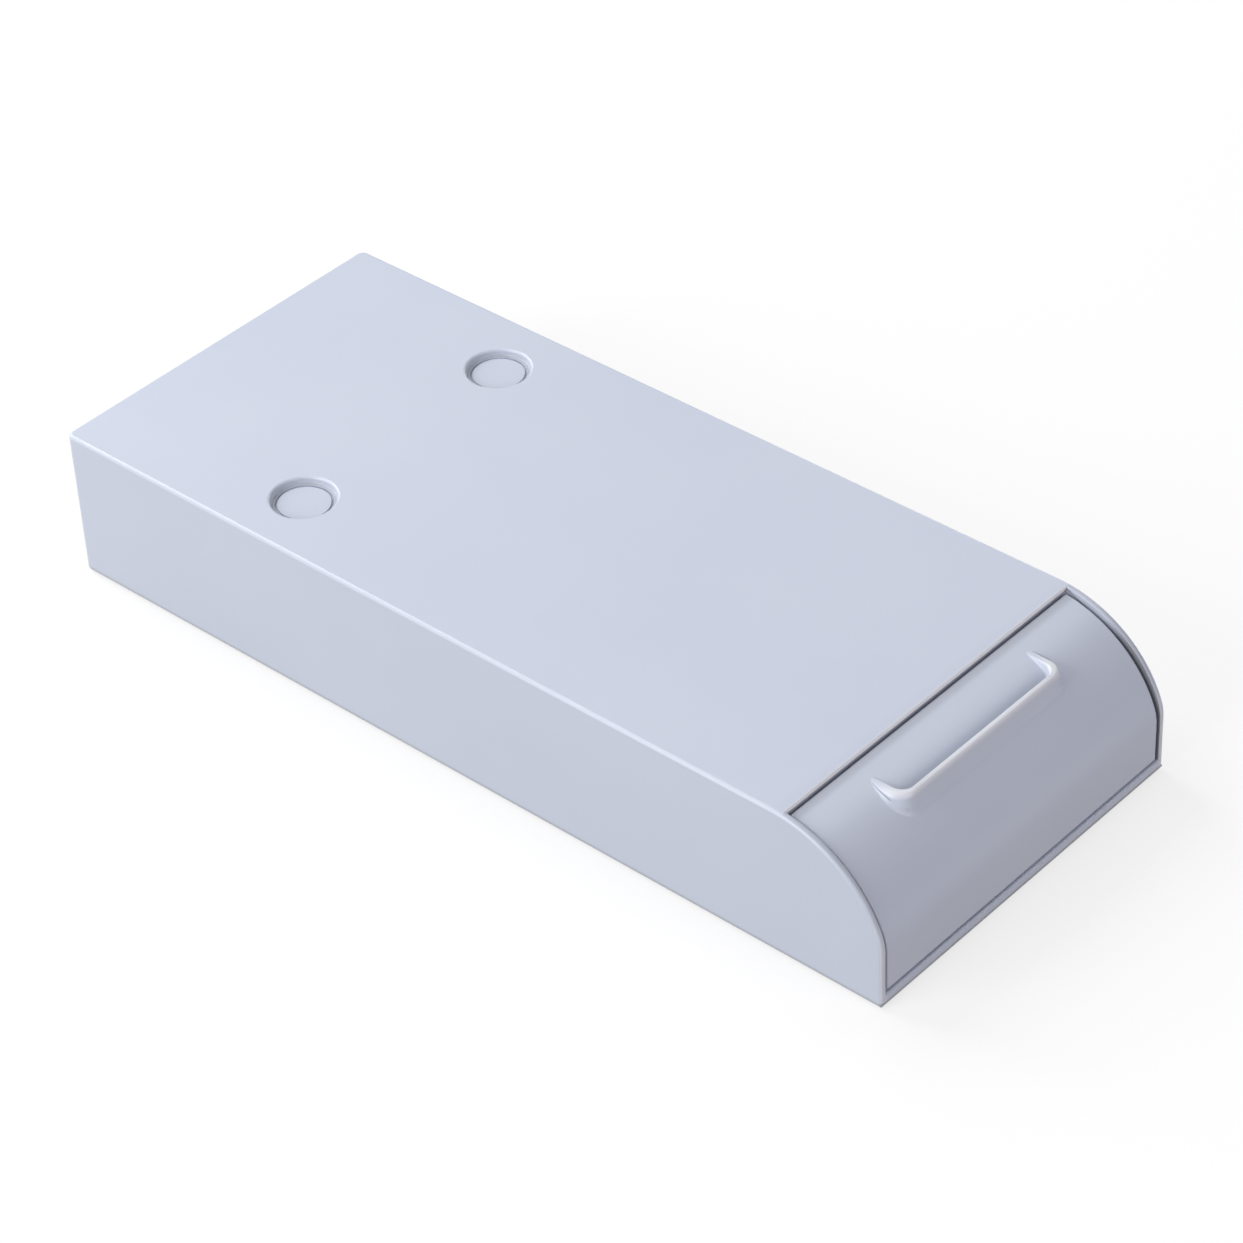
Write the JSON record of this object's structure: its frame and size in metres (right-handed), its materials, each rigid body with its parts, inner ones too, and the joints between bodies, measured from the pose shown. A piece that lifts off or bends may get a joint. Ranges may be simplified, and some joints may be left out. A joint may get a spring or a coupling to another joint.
{
  "type": "under-desk drawer",
  "caption": "Slim moulded under-desk drawer: a sleeve stuck to the desk's underside holds a pull-out pen tray with a curved front and finger lip. It lies on its mounting face.",
  "frame": {"origin": "centre of the footprint, on the casing's mounting face", "axes": "the drawer pulls out towards -Y; +X across the width; +Z away from the desk, so in use the part is turned over and hangs with +Z down"},
  "size_m": [0.088, 0.215, 0.035],
  "materials": {
    "moulded_plastic": "pale blue-grey moulded plastic with a satin surface"
  },
  "bodies": {
    "casing": {"casing": "moulded_plastic"},
    "drawer": {"drawer": "moulded_plastic"}
  },
  "joints": [
    {"name": "drawer_slide", "type": "slide", "parent": "casing", "child": "drawer", "axis": [0, -1, 0], "range_m": [0, 0.15]}
  ]
}
